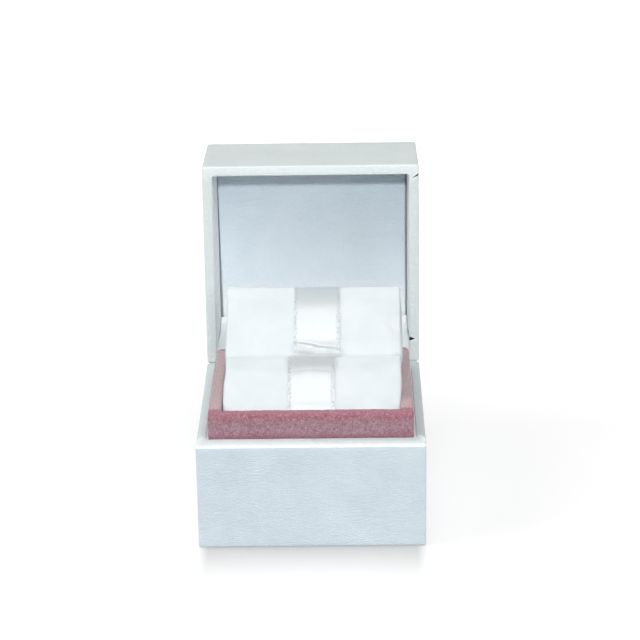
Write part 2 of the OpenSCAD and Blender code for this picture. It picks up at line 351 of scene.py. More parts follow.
def swing_open(piece):
    """Takes a piece drawn on the closed lid to where the open lid is."""
    turn(piece, -LID_ANGLE, HINGE)


LID_FOOT = 24.7        # height of the closed lid's rim
LID_TOP = 48.7         # height of the closed lid's top
lid_paper = paper_tray("lid_wrap_paper", (base_low.x, base_low.y, 0),
                       (base_high.x, base_high.y, LID_TOP - LID_FOOT), LID_RIM)
lay_grid(lid_paper, *GRID)
modify(lid_paper, "SOLIDIFY", thickness=PAPER * MM, offset=-1, use_even_offset=True)
make_uneven(lid_paper, *CLOUDS)
# Painted shade on the lid's rim: none on the strip that is on top when the lid is open, some on the
# left, more on the right.
paint_rim_light_and_shade(lid_paper, LID_TOP - LID_FOOT, lambda x, y: 0.0 if y > 21.3 else 0.67 if x < 0 else 0.87)
turn(lid_paper, 180, (0, 0, LID_TOP / 2))
print("closed lid from", round(min(v.co.z for v in lid_paper.data.vertices) / MM, 2))

# %% [markdown]
# A wrap like this is never perfect. At one corner of the lid's rim the fold has drawn back and
# a thin dark gap shows, and near the hinge a small notch has torn open in the turned-in edge.
# Dark paint would do from afar, but a real cut casts its own shade. So both are cut with a
# boolean, which leaves the cutter's dark finish on the cut: painted shade, with dark glue.

# %% Cutters for the gap and the notch


def join(pieces):
    """Joins pieces into the first one."""
    hold(pieces[0])
    for piece in pieces:
        piece.select_set(True)
    bpy.ops.object.join()
    return pieces[0]


def cut_away(piece, cutter, finish):
    """Takes the cutter's shape out of piece and leaves its finish on the cut."""
    cutter.data.materials.append(finish)
    modify(piece, "BOOLEAN", object=cutter, operation="DIFFERENCE", solver="EXACT",
           material_mode="TRANSFER")
    bpy.data.objects.remove(cutter)


def outline(name, points, shift):
    """A form with the given corners in millimetres, drawn out by a shift."""
    let_go()
    bpy.ops.mesh.primitive_circle_add(vertices=len(points), radius=MM, fill_type="NGON")
    piece = bpy.context.object
    piece.name = piece.data.name = name
    for vertex, point in zip(piece.data.vertices, points):
        vertex.co = Vector(point) * MM
    hold(piece, "EDIT")
    bpy.ops.mesh.select_all(action="SELECT")
    bpy.ops.mesh.extrude_region_move(TRANSFORM_OT_translate={"value": Vector(shift) * MM})
    bpy.ops.mesh.select_all(action="SELECT")
    bpy.ops.mesh.normals_make_consistent(inside=False)
    bpy.ops.object.mode_set(mode="OBJECT")
    bpy.ops.object.transform_apply(location=True)
    return piece


def notch(name, points, z, depth):
    """A cutter with the given (x, y) corners, standing in a rim at height z."""
    return outline(name, [(x, y, z - depth / 2) for x, y in points], (0, 0, depth))


# %% [markdown]
# ## Finishes
# A finish is a small graph of nodes on the piece's own coordinates, scaled so that one unit is
# one millimetre. Colours are picked as they look on screen and turned into linear light. Every
# value that is the same all over stays on the shader's own socket.

# %% Helpers for the finishes


def linear(red, green, blue):
    """A colour as seen on screen, 0 to 255, as linear light with alpha."""
    out = [v / 255 for v in (red, green, blue)]
    out = [v / 12.92 if v <= 0.04045 else ((v + 0.055) / 1.055) ** 2.4 for v in out]
    return (*out, 1.0)


class Finish:
    """A material with its shader and short ways to add nodes."""

    def __init__(self, name, **sockets):
        self.material = bpy.data.materials.new(name)
        self.material.use_nodes = True
        self.tree = self.material.node_tree
        self.shader = self.tree.nodes["Principled BSDF"]
        for key, value in sockets.items():
            self.shader.inputs[key.replace("_", " ")].default_value = value

    def add(self, kind, sockets=None, **settings):
        node = self.tree.nodes.new("ShaderNode" + kind)
        for key, value in settings.items():
            setattr(node, key, value)
        for key, value in (sockets or {}).items():
            if isinstance(value, bpy.types.NodeSocket):
                self.tree.links.new(value, node.inputs[key])
            else:
                node.inputs[key].default_value = value
        return node

    def give(self, socket, value):
        self.tree.links.new(value, self.shader.inputs[socket])

    def place(self, scale=(1, 1, 1), output="Object"):
        """Coordinates in millimetres, stretched by scale."""
        start = self.add("TexCoord").outputs[output]
        factor = 1 / MM if output == "Object" else 1
        size = [v * factor for v in scale]
        return self.add("Mapping", {"Vector": start, "Scale": size}).outputs["Vector"]

    def noise(self, where, scale, detail=2.0, rough=0.5):
        sockets = {"Vector": where, "Scale": scale, "Detail": detail, "Roughness": rough}
        return self.add("TexNoise", sockets).outputs["Fac"]

    def ramp(self, value, stops):
        """Colours along a value, as (place, colour) pairs."""
        node = self.add("ValToRGB", {"Fac": value})
        line = node.color_ramp.elements
        while len(line) < len(stops):
            line.new(0.5)
        for element, (place, colour) in zip(line, stops):
            element.position, element.color = place, colour
        return node.outputs["Color"]

    def maths(self, operation, a, b, c=None):
        sockets = {0: a, 1: b} if c is None else {0: a, 1: b, 2: c}
        return self.add("Math", sockets, operation=operation).outputs[0]

    def part(self, where, axis):
        return self.add("SeparateXYZ", {"Vector": where}).outputs[axis]

    def spread(self, value, start, end, low=0.0, high=1.0, soft=False):
        """Takes a value from start to end over to low to high, and stops at both."""
        sockets = {"Value": value, "From Min": start, "From Max": end, "To Min": low, "To Max": high}
        way = "SMOOTHSTEP" if soft else "LINEAR"
        return self.add("MapRange", sockets, interpolation_type=way).outputs["Result"]

    def mark(self, name):
        return self.add("Attribute", attribute_name=name).outputs["Fac"]

    def blend(self, share, a, b):
        """Two colours mixed by a share."""
        node = self.add("Mix", data_type="RGBA")
        for index, value in ((0, share), (6, a), (7, b)):
            if isinstance(value, bpy.types.NodeSocket):
                self.tree.links.new(value, node.inputs[index])
            else:
                node.inputs[index].default_value = value
        return node.outputs[2]

    def bump(self, height, distance, strength=1.0):
        """Bump from a height, with its distance in millimetres."""
        sockets = {"Height": height, "Distance": distance * MM, "Strength": strength}
        return self.add("Bump", sockets).outputs["Normal"]


def dress(piece, finish):
    """Gives a piece one finish."""
    piece.data.materials.clear()
    piece.data.materials.append(finish)


# %% [markdown]
# ### Grained paper
# The paper is embossed like fine leather: shallow cells a little over a millimetre long, drawn
# out along the sheet, with a finer pebble between them. Voronoi cells stretched along one way
# give the creases and a noise gives the pebble. The tint changes very slightly over the sheet,
# and the lines of the grain are a touch darker than the tops. The panel in the lid is painted
# darker towards its top, as painted shade, and lighter towards its foot, as painted light. On
# the wraps the rim is painted paler, as painted light, some rims are painted darker, as painted
# shade, and the turned-in walls are painted light.

# %% Finish: grained paper
# Painted shade darkens the panel towards its top, and painted light brightens its foot.
PAINTED_PANEL_SHADE = (69.0, 34.0)    # heights between which the panel's tone gets lighter
PAINTED_FOOT_LIGHT = (38.0, 30.0)     # heights between which the lining laps in


def grained_paper(name, light, dark, stretch, relief=0.05, rim=None, painted_foot_tone=None):
    """Embossed paper. rim gives the rim's painted light and painted shade, and the foot tone is
    painted light at the panel's foot.
    """
    finish = Finish(name, Roughness=0.5, Specular_IOR_Level=0.35)
    where = finish.place(stretch)
    wander = finish.add("TexNoise", {"Vector": where, "Scale": 0.8, "Detail": 1.0}).outputs["Color"]
    bent = finish.add("VectorMath", {0: wander, 1: (0.9, 0.9, 0.9), 2: where},
                      operation="MULTIPLY_ADD").outputs["Vector"]
    cells = finish.add("TexVoronoi", {"Vector": bent, "Scale": 1.0}, feature="DISTANCE_TO_EDGE")
    crease = finish.spread(cells.outputs["Distance"], 0, 0.16, soft=True)
    pebble = finish.noise(finish.place(), 3.2, 3.0, 0.6)
    cloud = finish.noise(finish.place(), 0.11, 3.0, 0.55)
    height = finish.maths("MULTIPLY_ADD", pebble, 0.55, crease)
    # Painted shade: the panel gets darker towards its top.
    if painted_foot_tone:
        up = finish.part(finish.place(), "Z")
        cloud = finish.maths("MULTIPLY_ADD", cloud, 0.3, finish.spread(up, *PAINTED_PANEL_SHADE, 0.05, 0.6))
    tint = finish.ramp(cloud, [(0.3, dark), (0.7, light)])
    # Painted light: the panel gets lighter towards its foot.
    if painted_foot_tone:
        tint = finish.blend(finish.spread(up, *PAINTED_FOOT_LIGHT, soft=True), tint, painted_foot_tone)
    # Painted light makes the rim and the turned-in walls paler, and painted shade darkens some rims.
    if rim:
        tint = finish.blend(finish.mark("rim"), tint, finish.blend(finish.mark("painted_rim_shade"), *rim))
        tint = finish.blend(finish.mark("inside"), tint, linear(252, 253, 252))
    lined = finish.maths("MULTIPLY_ADD", crease, -0.07, 0.07)
    shade = [v * 0.86 for v in dark[:3]] + [1]
    finish.give("Base Color", finish.blend(lined, tint, shade))
    finish.give("Roughness", finish.maths("MULTIPLY_ADD", pebble, 0.2, 0.42))
    finish.give("Normal", finish.bump(height, relief))
    return finish.material


# Each wrap's two rim tones: painted light first, painted shade second.
base_finish = grained_paper("wrap_paper_base", linear(216, 228, 235), linear(207, 220, 228),
                            (0.75, 0.75, 2.0), rim=(linear(241, 250, 251), linear(206, 218, 218)))
lid_finish = grained_paper("wrap_paper_lid", linear(228, 236, 235), linear(220, 229, 229),
                           (0.75, 2.0, 0.75), rim=(linear(223, 232, 232), linear(208, 217, 218)))
panel_finish = grained_paper("panel_paper", linear(230, 240, 247), linear(209, 223, 233),
                             (0.75, 0.75, 2.0), 0.06, painted_foot_tone=linear(247, 250, 252))
lining_finish = grained_paper("inner_lining_paper", linear(248, 251, 252), linear(243, 247, 248),
                              (0.9, 0.9, 0.9), 0.03)
print("papers:", base_finish.name, lid_finish.name, panel_finish.name, lining_finish.name)

# %% [markdown]
# ### Board, tape and card
# Nobody sees these in a finished box, but they are there, and they show when a piece is taken
# off. Grey board is pressed waste paper, so it is speckled with fibres both lighter and darker.
# Gummed tape is smoother, with long fibres. The gaps in the rim are painted dark, as painted shade
# over glue.

# %% Finish: board, tape and the shade in a gap


def fibre_board(name, light, dark, fleck, stretch, relief):
    finish = Finish(name, Roughness=0.85, Specular_IOR_Level=0.2)
    fibres = finish.noise(finish.place(stretch), 2.4, 4.0, 0.7)
    flecks = finish.noise(finish.place(stretch), 7.0, 2.0, 0.8)
    ground = finish.ramp(fibres, [(0.35, dark), (0.65, light)])
    finish.give("Base Color", finish.blend(finish.spread(flecks, 0.62, 0.7), ground, fleck))
    finish.give("Normal", finish.bump(fibres, relief))
    return finish.material


board_finish = fibre_board("grey_board", linear(184, 188, 186), linear(160, 165, 164),
                           linear(120, 122, 120), (1, 1, 2.5), 0.04)
tape_finish = fibre_board("gummed_tape", linear(214, 194, 158), linear(198, 176, 140),
                          linear(170, 146, 110), (0.6, 0.6, 2.0), 0.02)
gap_finish = fibre_board("gap_in_shade", linear(44, 50, 52), linear(20, 24, 26),
                         linear(70, 70, 66), (1, 1, 1), 0.03)
print("hidden pieces:", board_finish.name, tape_finish.name, gap_finish.name)

# %% [markdown]
# ### Velvet
# Velvet is a dense short pile. Seen face on it looks greyed and speckled, because the tips of
# the pile catch light unevenly, and along a turned edge the pile opens and its full rose colour
# shows. The speckle is two noises of different size. A painted map could hold the tones, but
# here the place on the piece gives them: rose along the front's top edge and at the rear, a
# painted shade that makes it deeper at the foot, and a painted sheen that makes the side walls
# paler, which gets warmer towards the front.

# %% Finish: pink velvet


def pile_velvet(name):
    finish = Finish(name, Roughness=0.95, Specular_IOR_Level=0.1, Sheen_Weight=0.35,
                    Sheen_Roughness=0.5, Sheen_Tint=linear(232, 205, 210))
    where = finish.place()
    tuft = finish.noise(where, 1.5, 4.0, 0.75)
    tip = finish.noise(where, 4.2, 3.0, 0.7)
    drift = finish.noise(where, 0.3, 2.0, 0.5)
    speckle = finish.maths("MULTIPLY_ADD", tip, 0.55, finish.maths("MULTIPLY", tuft, 0.45))
    ground = finish.ramp(speckle, [(0.38, linear(130, 92, 105)), (0.5, linear(157, 125, 135)),
                                   (0.62, linear(182, 154, 162))])
    rose = finish.ramp(speckle, [(0.4, linear(142, 81, 99)), (0.52, linear(167, 112, 126)),
                                 (0.62, linear(192, 150, 156))])
    # Painted sheen: the paler tone of the side walls.
    painted_sheen = finish.ramp(speckle, [(0.38, linear(167, 145, 147)), (0.62, linear(199, 187, 186))])
    depth = finish.part(where, "Y")
    height = finish.maths("MULTIPLY_ADD", drift, 1.6, finish.part(where, "Z"))
    height = finish.maths("MULTIPLY_ADD", tuft, 1.6, height)
    top = finish.spread(height, collar_high.z - 0.9, collar_high.z + 1.4, soft=True)
    # Painted shade: deeper rose at the collar's foot.
    painted_foot_tone = finish.spread(height, collar_high.z - 2.6, collar_high.z - 3.9, soft=True)
    side = finish.spread(depth, collar_low.y + 2.6, collar_low.y + 3.8, soft=True)
    rear = finish.spread(depth, collar_high.y - 2.2, collar_high.y - 1.0)
    warm = finish.spread(depth, collar_low.y + 9, collar_low.y + 2.5)
    painted_sheen = finish.blend(finish.maths("MULTIPLY", warm, 0.6), painted_sheen, linear(206, 168, 166))
    painted_sheen = finish.blend(finish.maths("MULTIPLY", rear, 0.75), painted_sheen, rose)
    edge = finish.blend(side, rose, painted_sheen)
    colour = finish.blend(finish.maths("MULTIPLY", top, 0.85), ground, edge)
    colour = finish.blend(finish.maths("MULTIPLY", painted_foot_tone, 0.5), colour, linear(152, 98, 116))
    finish.give("Base Color", colour)
    finish.give("Normal", finish.bump(speckle, 0.25, 0.8))
    return finish.material


velvet_finish = pile_velvet("pink_pile_velvet")
print("velvet:", velvet_finish.name)

# %% [markdown]
# ### Velour and satin
# Velour has a shorter and softer nap than velvet, and in white it shows as a soft bloom with a
# barely visible cloud, and its crest is painted a little brighter, as painted light. Satin is
# smooth because its threads float over many others, so it mirrors the lamps softly, and a fine
# line runs along the weave. Part metal and part plain white gives that. Its two woven edges
# have small ribs.
# These follow the ribbon, so its finish reads the ribbon's own map.

# %% Finish: white velour and satin
# Painted light: the heights over which the velour's crest is painted brighter.
PAINTED_CREST_LIGHT = (44.7, 45.8)         # heights between which the velour gets brighter
WOVEN_EDGE = (0.415, 0.445)  # share of the ribbon's width where its woven edges start


def white_velour(name):
    finish = Finish(name, Roughness=1.0, Specular_IOR_Level=0.05, Sheen_Weight=0.25,
                    Sheen_Roughness=0.6, Sheen_Tint=linear(245, 248, 250))
    where = finish.place()
    nap = finish.noise(where, 4.5, 3.0, 0.6)
    cloud = finish.noise(where, 0.16, 3.0, 0.5)
    tint = finish.ramp(cloud, [(0.35, linear(211, 219, 222)), (0.65, linear(218, 224, 226))])
    # Painted light: the crest is painted brighter.
    painted_crest_light = finish.spread(finish.part(where, "Z"), *PAINTED_CREST_LIGHT, 0, 0.45)
    tint = finish.blend(painted_crest_light, tint, linear(238, 243, 245))
    worn = finish.maths("MULTIPLY_ADD", nap, -0.12, 0.1)
    finish.give("Base Color", finish.blend(worn, tint, linear(192, 200, 205)))
    finish.give("Normal", finish.bump(nap, 0.07, 0.7))
    return finish.material


def woven_satin(name):
    finish = Finish(name, Metallic=0.6, Roughness=0.36, Specular_IOR_Level=0.5)
    across = finish.part(finish.place(output="UV"), "X")
    threads = finish.noise(finish.place((150, 7, 1), "UV"), 1.0, 3.0, 0.6)
    side = finish.maths("ABSOLUTE", finish.maths("SUBTRACT", across, 0.5), 0.0)
    edge = finish.spread(side, *WOVEN_EDGE)
    dots = finish.spread(finish.noise(finish.place((20, 19, 1), "UV"), 1.0, 1.0, 0.5), 0.5, 0.6)
    picot = finish.maths("MULTIPLY", dots, edge)
    tint = finish.ramp(threads, [(0.3, linear(236, 243, 246)), (0.7, linear(246, 250, 251))])
    shaded = finish.maths("MULTIPLY", picot, 0.42)
    finish.give("Base Color", finish.blend(shaded, tint, linear(186, 196, 200)))
    finish.give("Roughness", finish.maths("MULTIPLY_ADD", edge, 0.04, 0.36))
    finish.give("Normal", finish.bump(finish.maths("MULTIPLY_ADD", threads, 0.3, picot), 0.06))
    return finish.material


velour_finish = white_velour("white_nap_velour")
satin_finish = woven_satin("white_woven_satin")
print("white fabrics:", velour_finish.name, satin_finish.name)

# %% [markdown]
# With the finishes made, the lid's wrap gets its two small faults and is swung open.

# %% Finish the two wraps
dress(base_paper, base_finish)
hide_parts("base_wrap")
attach(base_paper, "base")

smooth(lid_paper)
dress(lid_paper, lid_finish)
GAP = [(23.3, -20.5), (25.2, -21.9), (25.2, -21.3)]
TEAR = [(22.7, 17.75), (22.95, 17.75), (24.1, 18.25), (22.95, 18.7), (22.7, 18.7)]
TEAR_IN_WALL = [(22.4, 17.8), (22.83, 17.8), (22.83, 18.6), (22.4, 18.6)]
cutters = [notch("corner_gap", GAP, LID_FOOT, 0.24), notch("rim_notch", TEAR, LID_FOOT, 0.32)]
# The cut faces carry the dark gap finish, painted shade over glue.
cut_away(lid_paper, join(cutters), gap_finish)
cut_away(lid_paper, notch("wall_notch", TEAR_IN_WALL, LID_FOOT, 15), gap_finish)
swing_open(lid_paper)
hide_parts("lid_wrap")
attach(lid_paper, "lid")
tell(lid_paper)

# %% [markdown]
# ## The panel in the lid
# A card wrapped in its own grained paper lines the inside of the top. A flat block with soft
# edges is enough for it, drawn on the closed lid and swung open with it. It was glued in a
# little askew on the left, and a narrow gap stays round it, which reads as a dark line.

# %% Panel
PANEL_LOW, PANEL_HIGH = 46.25, 46.98    # heights of its faces on the closed lid
panel_side = corners("lid_panel_paper")[1].x
panel_end = base_high.y - (base_high.x - panel_side)
panel = block("lid_panel", (-panel_side, -panel_end, PANEL_LOW), (panel_side, panel_end, PANEL_HIGH))
for vertex in panel.data.vertices:
    if vertex.co.x < 0:
        vertex.co.x += (-0.4 if vertex.co.y < 0 else 0.3) * MM
hold(panel, "EDIT")
pick(panel, "EDGE", lambda e: middle(e).z < PANEL_LOW + 0.05 or runs_along(e, 2))
round_off(0.22, 3)
lay_grid(panel, *GRID)
make_uneven(panel, 0.08, 4.0)
smooth(panel)
swing_open(panel)
dress(panel, panel_finish)
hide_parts("lid_panel_paper")
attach(panel, "lid")
tell(panel)

# %% [markdown]
# ## The velvet collar
# The collar is four boards with velvet drawn over them. It is made like the trays, as one shell
# over a ring, with a rounder top edge because the pile is thick. The surface is then roughened
# by two cloud patterns, one for the way the cloth was glued and one for the pile.

# %% Collar
COLLAR_WALL, COLLAR_DEPTH = 2.8, 11     # how wide the collar's top is, how far the velvet goes in


def velvet_collar():
    ring = block("collar_velvet_cover", collar_low, collar_high)
    hold(ring, "EDIT")
    pick(ring, "FACE", lambda f: f.normal.z > 0.9)
    bpy.ops.mesh.inset(thickness=COLLAR_WALL * MM)
    bpy.ops.mesh.extrude_region_move(TRANSFORM_OT_translate={"value": (0, 0, -COLLAR_DEPTH * MM)})
    bpy.ops.mesh.delete(type="FACE")
    pick(ring, "FACE", lambda f: f.normal.z < -0.9)
    bpy.ops.mesh.delete(type="FACE")

    def outside(edge):
        at = middle(edge)
        return (abs(at.x) > collar_high.x - HAIR or at.y < collar_low.y + HAIR
                or at.y > collar_high.y - HAIR)

    def turned(edge):
        return len(edge.link_faces) == 2 and abs(edge.calc_face_angle(0)) > 1

    def on_top(edge):
        return turned(edge) and middle(edge).z > collar_high.z - HAIR

    for rear, radius, steps in ((True, 1.6, 6), (False, 0.7, 4)):
        pick(ring, "EDGE", lambda e: turned(e) and outside(e) and runs_along(e, 2)
             and (middle(e).y > 0) == rear)
        round_off(radius, steps)
    pick(ring, "EDGE", lambda e: on_top(e) and (outside(e) or abs(middle(e).x) > collar_high.x - 1.9
                                                and middle(e).y > collar_high.y - 1.9))
    round_off(0.8, 5)
    wall = COLLAR_WALL - 0.1
    pick(ring, "EDGE", lambda e: on_top(e) and abs(middle(e).x) < collar_high.x - wall
         and collar_low.y + wall < middle(e).y < collar_high.y - wall)
    round_off(0.5, 4)
    let_go()
    return ring


collar = velvet_collar()
lay_grid(collar, 0.6, 3)
modify(collar, "SOLIDIFY", thickness=0.45 * MM, offset=-1)
make_uneven(collar, 0.16, 1.1)
make_uneven(collar, 0.12, 0.35)
smooth(collar, 60)
dress(collar, velvet_finish)
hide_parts("collar_velvet")
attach(collar, "base")
tell(collar)

# %% [markdown]
# ## The pad
# The pad is two foam halves, each in a velour cover, pressed together at the slit that holds the
# ring. A stuffed form can be carved, but cloth that is blown up from the inside finds its own
# crown and pulls its own corners in. So each half starts as a plain form with the section of
# the foam, whose top is one smooth line.

# %% Forms of the two halves
SIM_SCALE = 12
slit = (front_high.y + rear_low.y) / 2
pad_foot = front_low.z + 0.1
PAD_SIDE = 19.3        # half of the pad's width before it swells
FRONT_OUTLINE = [(-0.65, pad_foot), (-0.65, 36.1), (-1.3, 36.17), (-3.0, 35.65), (-4.7, 35.1),
                 (-5.7, 34.68), (-6.7, 34.18), (-8.5, 33.1), (-11.0, 31.4), (-13.0, 29.9),
                 (-15.2, 28.1), (-15.55, 27.3), (-15.55, pad_foot)]
REAR_OUTLINE = [(-0.35, pad_foot), (-0.35, 36.2), (0.0, 36.7), (0.5, 37.1), (1.9, 38.08),
                (5.0, 40.35), (10.0, 43.35), (13.6, 45.05), (16.2, 45.85), (17.9, 45.95),
                (18.35, 45.3), (16.75, 30.0), (16.55, pad_foot)]


def rounded_path(points, step, rounds=30):
    """Even points along a line through the given (y, z) points, with its kinks rounded off."""
    points = np.array(points, float)
    at = np.concatenate([[0], np.cumsum(np.linalg.norm(np.diff(points, axis=0), axis=1))])
    dense = np.linspace(0, at[-1], int(at[-1] / 0.1))
    line = np.stack([np.interp(dense, at, points[:, k]) for k in (0, 1)], axis=1)
    for _ in range(rounds):
        line[1:-1] = (line[:-2] + 2 * line[1:-1] + line[2:]) / 4
    at = np.concatenate([[0], np.cumsum(np.linalg.norm(np.diff(line, axis=0), axis=1))])
    even = np.linspace(0, at[-1], int(round(at[-1] / step)) + 1)
    return np.stack([np.interp(even, at, line[:, k]) for k in (0, 1)], axis=1), at[-1]


def half_form(name, points, first, last):
    """Half of the pad as a plain form. Its top, between two points, is a smooth line."""
    top, _ = rounded_path(points[first:last], 0.7, 200)
    points = points[:first] + [tuple(p) for p in top] + points[last:]
    return outline(name, [(-PAD_SIDE, y, z) for y, z in points], (2 * PAD_SIDE, 0, 0))


pad_front = half_form("pad_front_cushion", FRONT_OUTLINE, 2, 11)
pad_rear = half_form("pad_rear_cushion", REAR_OUTLINE, 3, 8)
for half in (pad_front, pad_rear):
    tell(half)

# %% [markdown]
# Each form is remeshed evenly and blown up at twelve times its size, where the cloth solver is
# at its best. How far a point may move is capped, so that the halves keep their crisp section.

# %% Blow up the two halves
VOXEL = 0.53           # size of the even mesh
SWELL, PRESSURE = 0.3, 4    # how far a point may go, and the pressure inside
STEPS = 20


def plump(half, cap, pressure):
    """Rounds, remeshes and inflates a form, and caps how far its points go."""
    hold(half, "EDIT")
    pick(half, "EDGE", lambda e: not runs_along(e, 0) and abs(middle(e).x) > PAD_SIDE - 0.1
         and abs(middle(e).y - slit) > 0.3)
    round_off(0.4, 3)
    let_go()
    half.data.transform(Matrix.Scale(SIM_SCALE, 4))
    half.data.remesh_voxel_size = VOXEL * SIM_SCALE * MM
    half.data.use_remesh_preserve_volume = True
    hold(half)
    bpy.ops.object.voxel_remesh()
    rest = points_of(half)
    cloth = half.modifiers.new("cloth", "CLOTH")
    cloth.settings.use_pressure = True
    cloth.settings.uniform_pressure_force = pressure
    cloth.settings.effector_weights.gravity = 0
    cloth.point_cache.frame_start, cloth.point_cache.frame_end = 1, STEPS
    for step in range(1, STEPS + 1):
        scene.frame_set(step)
    bpy.ops.object.modifier_apply(modifier="cloth")
    scene.frame_set(1)
    went = points_of(half) - rest
    far = np.linalg.norm(went, axis=1)
    limit = cap * SIM_SCALE * MM
    blown = rest + went * np.minimum(1, limit / np.maximum(far, 1e-9))[:, None]
    put_points(half, blown / SIM_SCALE)
    print(half.name, "moved up to", round(float(far.max()) / SIM_SCALE / MM, 2), "mm, kept to", cap)


for half in (pad_front, pad_rear):
    plump(half, SWELL, PRESSURE)

# %% [markdown]
# The collar holds the halves in, and they meet at the slit. So after the swelling, each point
# is brought back inside the room it has: between the collar's walls low down, a little more
# above them, and to the middle of the slit. At its right end the slit stands open a little. The
# ribbon's pull draws the velour in under it. The velour is folded over the front half's lip, so
# that lip is drawn out sharp.

# %% Fit the halves into the collar
RIBBON_W, RIBBON_THICK = 10.4, 0.16    # width and thickness of the ribbon
UPPER_RIBBON, LOWER_RIBBON = 1.3, 0.05    # how far right its two lengths lie
PAD_TOP = 46.12        # the closed lid's panel is just above this
LIP_TOP = 36.14        # height of the front half's lip


def ease(values, start, end):
    t = np.clip((values - start) / (end - start), 0, 1)
    return t * t * (3 - 2 * t)


def sharpen(co, y_edge, z_top, size):
    """Draws the rounded corner at a lip of the slit out to a sharp one."""
    away, up = np.abs(co[:, 1] - y_edge), z_top - co[:, 2]
    dy, dz = size - away, size - up
    here = (dy > 0) & (dz > 0)
    grow = np.where(here, np.hypot(dy, dz) / np.maximum(np.maximum(dy, dz), 1e-6), 1)
    grow = np.minimum(grow, size / np.maximum(np.maximum(dy, dz), 1e-6))
    co[:, 1] = np.where(here, y_edge + np.sign(co[:, 1] - y_edge) * (size - dy * grow), co[:, 1])
    co[:, 2] = np.where(here, z_top - (size - dz * grow), co[:, 2])


def fit(half, is_front):
    """Keeps a half in the room that the collar, the slit and the closed lid leave it."""
    x, y, z = (points_of(half) / MM).T
    above = ease(z, 28.5, 35)    # from inside the collar to above it
    high = ease(z, 38, 46)       # from the middle of the slope to the crest
    x = np.where(x > 0, x * (1.02 + 0.035 * above + 0.012 * high), x * (1 + 0.008 * high))
    x = np.clip(x, -19.55 + 0.2 * above, 19.72 + 0.95 * above)
    opening = slit_opening(x)
    if is_front:
        y = np.minimum(y, slit - opening)
        y = np.maximum(y, front_low.y + 0.02)
    else:
        y = np.maximum(y, slit + opening)
        y = np.minimum(y, 16.85 + (z - 30) * 0.0875 + 0.35)
        z = z + 0.25 * ease(-x, 2, 18) * ease(z, 40, 46)
        z = np.minimum(z, PAD_TOP)
    put_points(half, np.stack([x, y, z], axis=1) * MM)
    modify(half, "SMOOTH", factor=0.5, iterations=2)
    modify(half, "SUBSURF", levels=1, render_levels=1)
    if is_front:
        co = points_of(half) / MM
        sharpen(co, slit - slit_opening(co[:, 0]), LIP_TOP, 0.8)
        put_points(half, co * MM)
    smooth(half, 80)


def slit_opening(x):
    """Half of the gap at the slit: closed, but for the ribbon and the right end."""
    beside = np.abs(x - (UPPER_RIBBON + LOWER_RIBBON) / 2)
    opening = 0.03 + 0.36 * ease(-beside, -RIBBON_W / 2 - 1.2, -RIBBON_W / 2 - 0.1)
    return opening + 0.42 * ease(x, 17.6, 19.4)


fit(pad_front, True)
fit(pad_rear, False)
for half, foam in ((pad_front, "front"), (pad_rear, "rear")):
    dress(half, velour_finish)
    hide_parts(f"pad_{foam}_cover", f"pad_{foam}_foam")
    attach(half, "base")
    tell(half)

# %% [markdown]
# ## The ribbon
# One length of satin, a little over 10 mm wide, comes up behind the pad, over its crest, down
# the upper half, into the slit, out again and down over the front. A cloth simulation could
# drape it, but a tucked ribbon stays where it was pushed, so it is laid along a path. The path's
# own length is the length that the ribbon was cut to.

# %% Path of the ribbon
RIBBON_PATH = [(17.45, 34.5), (18.75, 45.2), (18.3, 46.1), (16.6, 46.15), (13.6, 45.4),
               (10.0, 43.7), (5.0, 40.7), (1.9, 38.4), (0.6, 37.4), (0.0, 36.7), (-0.4, 36.15),
               (-0.42, 35.5), (-0.28, 34.0), (-0.28, 29.4), (-0.5, 28.9), (-0.72, 29.4),
               (-0.72, 34.4), (-0.8, 35.8), (-1.3, 36.45), (-3.0, 35.9), (-4.7, 35.38),
               (-5.7, 34.96), (-6.7, 34.46), (-8.5, 33.38), (-11.0, 31.7), (-13.0, 30.2),
               (-15.3, 28.4), (-15.85, 27.4), (-15.9, 22.0)]
ribbon_line, ribbon_length = rounded_path(RIBBON_PATH, 0.28)
print("ribbon:", RIBBON_W, "by", round(ribbon_length, 1), "mm")

# %% [markdown]
# The strip is a grid with a row for each step of the path. It could take its map from an
# unwrap, but the rows and columns are known, so they are written into the map, which then runs
# along the ribbon with the weave.

# %% Lay the ribbon
ACROSS = 36            # columns of the strip
SLIDE = (0.46, 0.6)    # shares of its length between which the ribbon shifts sideways


def skin_of(*pieces):
    """One tree over several pieces, to ask for the nearest point on them."""
    verts, faces = [], []
    for piece in pieces:
        start = len(verts)
        verts += [v.co for v in piece.data.vertices]
        faces += [[start + i for i in p.vertices] for p in piece.data.polygons]
    return BVHTree.FromPolygons(verts, faces)


def lay_ribbon(line, length):
    along = len(line)
    let_go()
    bpy.ops.mesh.primitive_grid_add(x_subdivisions=ACROSS, y_subdivisions=along - 1, size=1)
    piece = bpy.context.object
    piece.name = piece.data.name = "satin_ribbon"
    share = np.linspace(0, 1, along)
    slide = ease(share, *SLIDE)
    grid = points_of(piece)
    column = np.round((grid[:, 0] + 0.5) * ACROSS).astype(int)
    row = np.round((grid[:, 1] + 0.5) * (along - 1)).astype(int)
    centre = UPPER_RIBBON + (LOWER_RIBBON - UPPER_RIBBON) * slide[row]
    x = centre + (column / ACROSS - 0.5) * RIBBON_W
    for vertex, px, r in zip(piece.data.vertices, x, row):
        vertex.co = Vector((px, *line[r])) * MM
    layer = piece.data.uv_layers.active or piece.data.uv_layers.new(name="along")
    for loop in piece.data.loops:
        i = loop.vertex_index
        layer.data[loop.index].uv = (column[i] / ACROSS, share[row[i]] * length / RIBBON_W)
    return piece


ribbon = lay_ribbon(ribbon_line, ribbon_length)
skin = skin_of(pad_front, pad_rear)
print("ribbon points:", len(ribbon.data.vertices))

